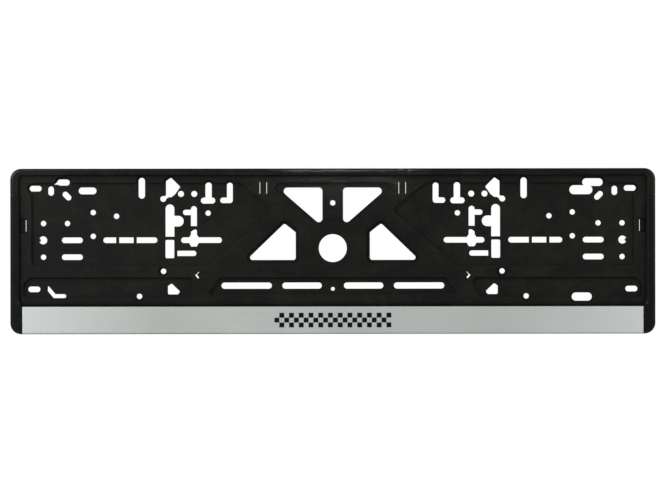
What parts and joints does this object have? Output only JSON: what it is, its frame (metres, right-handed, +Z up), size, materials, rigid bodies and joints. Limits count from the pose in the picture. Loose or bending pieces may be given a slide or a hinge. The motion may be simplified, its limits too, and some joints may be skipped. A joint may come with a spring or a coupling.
{
  "type": "number plate holder",
  "caption": "Black moulded holder for a long car number plate, with a clip-on frame, a bare silver strip on its lower bar and many screw holes and slots.",
  "frame": {"origin": "where the axis of the large middle hole meets the plane of the back", "axes": "+X to the right as seen from the front, +Z up, and +Y from the front to the car, along the middle hole's axis"},
  "size_m": [0.53, 0.012, 0.136],
  "materials": {
    "black_plastic": "satin",
    "silver_film": "brushed"
  },
  "bodies": {
    "base": {"carrier": "black_plastic"},
    "retaining_frame": {"clip_frame": "black_plastic", "silver_strip": "silver_film"}
  },
  "joints": [
    {"name": "frame_release", "type": "slide", "parent": "base", "child": "retaining_frame", "axis": [0, -1, 0], "range_m": [0, 0.025]}
  ]
}
